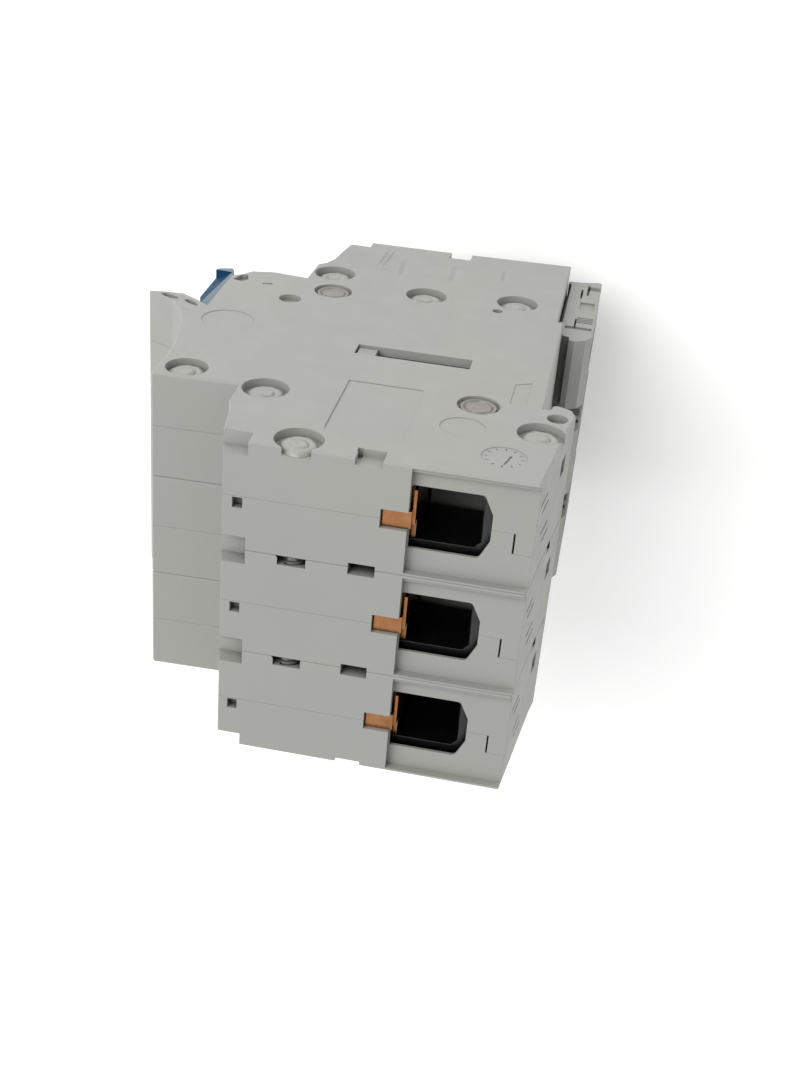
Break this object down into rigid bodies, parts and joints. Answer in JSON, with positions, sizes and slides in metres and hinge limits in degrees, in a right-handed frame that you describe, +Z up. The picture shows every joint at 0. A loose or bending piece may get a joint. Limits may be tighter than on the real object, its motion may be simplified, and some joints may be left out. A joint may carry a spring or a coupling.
{
  "type": "din rail circuit breaker",
  "caption": "Modular DIN rail circuit breaker with side-by-side poles, cage clamp terminals at both ends, tie-barred toggles under a moulded lip and sliding rail clips.",
  "frame": {"origin": "middle of the rail seat: on the seat plane, on the rail's centre line, at the middle of the width", "axes": "+X along the rail, +Y into the rail and panel, +Z up; the toggles face -Y"},
  "size_m": [0.0528, 0.0752, 0.092],
  "materials": {
    "shell_plastic": "light warm grey glass-filled polyamide, fine spark-eroded mould texture",
    "toggle_plastic": "blue moulded thermoplastic, satin",
    "tie_bar_plastic": "blue rod, satin",
    "clip_plastic": "light grey acetal, satin",
    "copper": "bare rolled copper, slightly tarnished",
    "winding_copper": "enamelled copper wire",
    "clamp_steel": "zinc-plated, dark passivated pressed steel",
    "screw_steel": "zinc-plated steel",
    "magnet_steel": "soft magnetic steel",
    "spring_steel": "spring wire",
    "silver": "silver contact on copper carrier",
    "bimetal": "rolled bimetal strip",
    "chute_steel": "stamped steel plates in fibre cheeks",
    "rivet_metal": "pinkish grey plated tubular rivet",
    "lever_plastic": "natural acetal",
    "pin_plastic": "heat-formed grey polyamide pin"
  },
  "bodies": {
    "housing": {"pole_1_left_shell": "shell_plastic", "pole_1_right_shell": "shell_plastic", "pole_1_top_current_bar": "copper", "pole_1_bottom_current_bar": "copper", "pole_1_coil": "winding_copper", "pole_1_yoke": "magnet_steel", "pole_1_plunger_spring": "spring_steel", "pole_1_arc_chute": "chute_steel", "pole_1_bimetal": "bimetal", "pole_2_left_shell": "shell_plastic", "pole_2_right_shell": "shell_plastic", "pole_2_top_current_bar": "copper", "pole_2_bottom_current_bar": "copper", "pole_2_coil": "winding_copper", "pole_2_yoke": "magnet_steel", "pole_2_plunger_spring": "spring_steel", "pole_2_arc_chute": "chute_steel", "pole_2_bimetal": "bimetal", "pole_3_left_shell": "shell_plastic", "pole_3_right_shell": "shell_plastic", "pole_3_top_current_bar": "copper", "pole_3_bottom_current_bar": "copper", "pole_3_coil": "winding_copper", "pole_3_yoke": "magnet_steel", "pole_3_plunger_spring": "spring_steel", "pole_3_arc_chute": "chute_steel", "pole_3_bimetal": "bimetal", "shell_pins": "pin_plastic", "fixed_contacts": "silver", "pole_rivets": "rivet_metal"},
    "handle": {"pole_1_toggle": "toggle_plastic", "pole_2_toggle": "toggle_plastic", "pole_3_toggle": "toggle_plastic", "handle_tie_bar": "tie_bar_plastic"},
    "coupling_bar": {"coupling_bar": "clip_plastic"},
    "moving_contact_1": {"pole_1_moving_contact": "silver"},
    "latch_lever_1": {"pole_1_latch_lever": "lever_plastic"},
    "plunger_1": {"pole_1_plunger": "magnet_steel"},
    "rail_clip_1": {"pole_1_rail_clip": "clip_plastic"},
    "top_cage_1": {"pole_1_top_cage": "clamp_steel"},
    "bottom_cage_1": {"pole_1_bottom_cage": "clamp_steel"},
    "top_screw_1": {"pole_1_top_screw": "screw_steel"},
    "bottom_screw_1": {"pole_1_bottom_screw": "screw_steel"},
    "moving_contact_2": {"pole_2_moving_contact": "silver"},
    "latch_lever_2": {"pole_2_latch_lever": "lever_plastic"},
    "plunger_2": {"pole_2_plunger": "magnet_steel"},
    "rail_clip_2": {"pole_2_rail_clip": "clip_plastic"},
    "top_cage_2": {"pole_2_top_cage": "clamp_steel"},
    "bottom_cage_2": {"pole_2_bottom_cage": "clamp_steel"},
    "top_screw_2": {"pole_2_top_screw": "screw_steel"},
    "bottom_screw_2": {"pole_2_bottom_screw": "screw_steel"},
    "moving_contact_3": {"pole_3_moving_contact": "silver"},
    "latch_lever_3": {"pole_3_latch_lever": "lever_plastic"},
    "plunger_3": {"pole_3_plunger": "magnet_steel"},
    "rail_clip_3": {"pole_3_rail_clip": "clip_plastic"},
    "top_cage_3": {"pole_3_top_cage": "clamp_steel"},
    "bottom_cage_3": {"pole_3_bottom_cage": "clamp_steel"},
    "top_screw_3": {"pole_3_top_screw": "screw_steel"},
    "bottom_screw_3": {"pole_3_bottom_screw": "screw_steel"}
  },
  "joints": [
    {"name": "toggle_swing", "type": "hinge", "parent": "housing", "child": "handle", "pos_m": [0, -0.0522, -0.0118], "axis": [-1, 0, 0], "range_deg": [0, 50]},
    {"name": "coupling_bar_slide", "type": "slide", "parent": "housing", "child": "coupling_bar", "axis": [0, 1, 0], "range_m": [0, 0.0141]},
    {"name": "contact_1_swing", "type": "hinge", "parent": "housing", "child": "moving_contact_1", "pos_m": [-0.0176, -0.035, -0.003], "axis": [1, 0, 0], "range_deg": [0, 24.05]},
    {"name": "lever_1_swing", "type": "hinge", "parent": "housing", "child": "latch_lever_1", "pos_m": [-0.0176, -0.04, -0.0066], "axis": [-1, 0, 0], "range_deg": [0, 15.05]},
    {"name": "plunger_1_slide", "type": "slide", "parent": "housing", "child": "plunger_1", "axis": [0, -1, 0], "range_m": [0, 0.003], "stiffness_N_per_m": 120, "springref_m": -0.001, "deforming": ["pole_1_plunger_spring"]},
    {"name": "clip_1_slide", "type": "slide", "parent": "housing", "child": "rail_clip_1", "axis": [0, 0, -1], "range_m": [0, 0.0045], "stiffness_N_per_m": 900, "springref_m": -0.002},
    {"name": "top_screw_1_turn", "type": "hinge", "parent": "housing", "child": "top_screw_1", "pos_m": [-0.0178, -0.0346, 0.0348], "axis": [0, -1, 0], "range_deg": [0, 3605]},
    {"name": "top_cage_1_slide", "type": "slide", "parent": "housing", "child": "top_cage_1", "axis": [0, -1, 0], "range_m": [0, 0.007]},
    {"name": "bottom_screw_1_turn", "type": "hinge", "parent": "housing", "child": "bottom_screw_1", "pos_m": [-0.0178, -0.0346, -0.0379], "axis": [0, -1, 0], "range_deg": [0, 3605]},
    {"name": "bottom_cage_1_slide", "type": "slide", "parent": "housing", "child": "bottom_cage_1", "axis": [0, -1, 0], "range_m": [0, 0.007]},
    {"name": "contact_2_swing", "type": "hinge", "parent": "housing", "child": "moving_contact_2", "pos_m": [0, -0.035, -0.003], "axis": [1, 0, 0], "range_deg": [0, 24.05]},
    {"name": "lever_2_swing", "type": "hinge", "parent": "housing", "child": "latch_lever_2", "pos_m": [0, -0.04, -0.0066], "axis": [-1, 0, 0], "range_deg": [0, 15.05]},
    {"name": "plunger_2_slide", "type": "slide", "parent": "housing", "child": "plunger_2", "axis": [0, -1, 0], "range_m": [0, 0.003], "stiffness_N_per_m": 120, "springref_m": -0.001, "deforming": ["pole_2_plunger_spring"]},
    {"name": "clip_2_slide", "type": "slide", "parent": "housing", "child": "rail_clip_2", "axis": [0, 0, -1], "range_m": [0, 0.0045], "stiffness_N_per_m": 900, "springref_m": -0.002},
    {"name": "top_screw_2_turn", "type": "hinge", "parent": "housing", "child": "top_screw_2", "pos_m": [-0.0002, -0.0346, 0.0348], "axis": [0, -1, 0], "range_deg": [0, 3605]},
    {"name": "top_cage_2_slide", "type": "slide", "parent": "housing", "child": "top_cage_2", "axis": [0, -1, 0], "range_m": [0, 0.007]},
    {"name": "bottom_screw_2_turn", "type": "hinge", "parent": "housing", "child": "bottom_screw_2", "pos_m": [-0.0002, -0.0346, -0.0379], "axis": [0, -1, 0], "range_deg": [0, 3605]},
    {"name": "bottom_cage_2_slide", "type": "slide", "parent": "housing", "child": "bottom_cage_2", "axis": [0, -1, 0], "range_m": [0, 0.007]},
    {"name": "contact_3_swing", "type": "hinge", "parent": "housing", "child": "moving_contact_3", "pos_m": [0.0176, -0.035, -0.003], "axis": [1, 0, 0], "range_deg": [0, 24.05]},
    {"name": "lever_3_swing", "type": "hinge", "parent": "housing", "child": "latch_lever_3", "pos_m": [0.0176, -0.04, -0.0066], "axis": [-1, 0, 0], "range_deg": [0, 15.05]},
    {"name": "plunger_3_slide", "type": "slide", "parent": "housing", "child": "plunger_3", "axis": [0, -1, 0], "range_m": [0, 0.003], "stiffness_N_per_m": 120, "springref_m": -0.001, "deforming": ["pole_3_plunger_spring"]},
    {"name": "clip_3_slide", "type": "slide", "parent": "housing", "child": "rail_clip_3", "axis": [0, 0, -1], "range_m": [0, 0.0045], "stiffness_N_per_m": 900, "springref_m": -0.002},
    {"name": "top_screw_3_turn", "type": "hinge", "parent": "housing", "child": "top_screw_3", "pos_m": [0.0174, -0.0346, 0.0348], "axis": [0, -1, 0], "range_deg": [0, 3605]},
    {"name": "top_cage_3_slide", "type": "slide", "parent": "housing", "child": "top_cage_3", "axis": [0, -1, 0], "range_m": [0, 0.007]},
    {"name": "bottom_screw_3_turn", "type": "hinge", "parent": "housing", "child": "bottom_screw_3", "pos_m": [0.0174, -0.0346, -0.0379], "axis": [0, -1, 0], "range_deg": [0, 3605]},
    {"name": "bottom_cage_3_slide", "type": "slide", "parent": "housing", "child": "bottom_cage_3", "axis": [0, -1, 0], "range_m": [0, 0.007]}
  ],
  "couplings": [
    {"joint": "coupling_bar_slide", "follows": "toggle_swing", "m_per_rad": 0.016043},
    {"joint": "contact_1_swing", "follows": "toggle_swing", "ratio": 0.48},
    {"joint": "lever_1_swing", "follows": "toggle_swing", "ratio": 0.3},
    {"joint": "top_screw_1_turn", "follows": "top_cage_1_slide", "rad_per_m": 8976},
    {"joint": "bottom_screw_1_turn", "follows": "bottom_cage_1_slide", "rad_per_m": 8976},
    {"joint": "contact_2_swing", "follows": "toggle_swing", "ratio": 0.48},
    {"joint": "lever_2_swing", "follows": "toggle_swing", "ratio": 0.3},
    {"joint": "top_screw_2_turn", "follows": "top_cage_2_slide", "rad_per_m": 8976},
    {"joint": "bottom_screw_2_turn", "follows": "bottom_cage_2_slide", "rad_per_m": 8976},
    {"joint": "contact_3_swing", "follows": "toggle_swing", "ratio": 0.48},
    {"joint": "lever_3_swing", "follows": "toggle_swing", "ratio": 0.3},
    {"joint": "top_screw_3_turn", "follows": "top_cage_3_slide", "rad_per_m": 8976},
    {"joint": "bottom_screw_3_turn", "follows": "bottom_cage_3_slide", "rad_per_m": 8976}
  ]
}
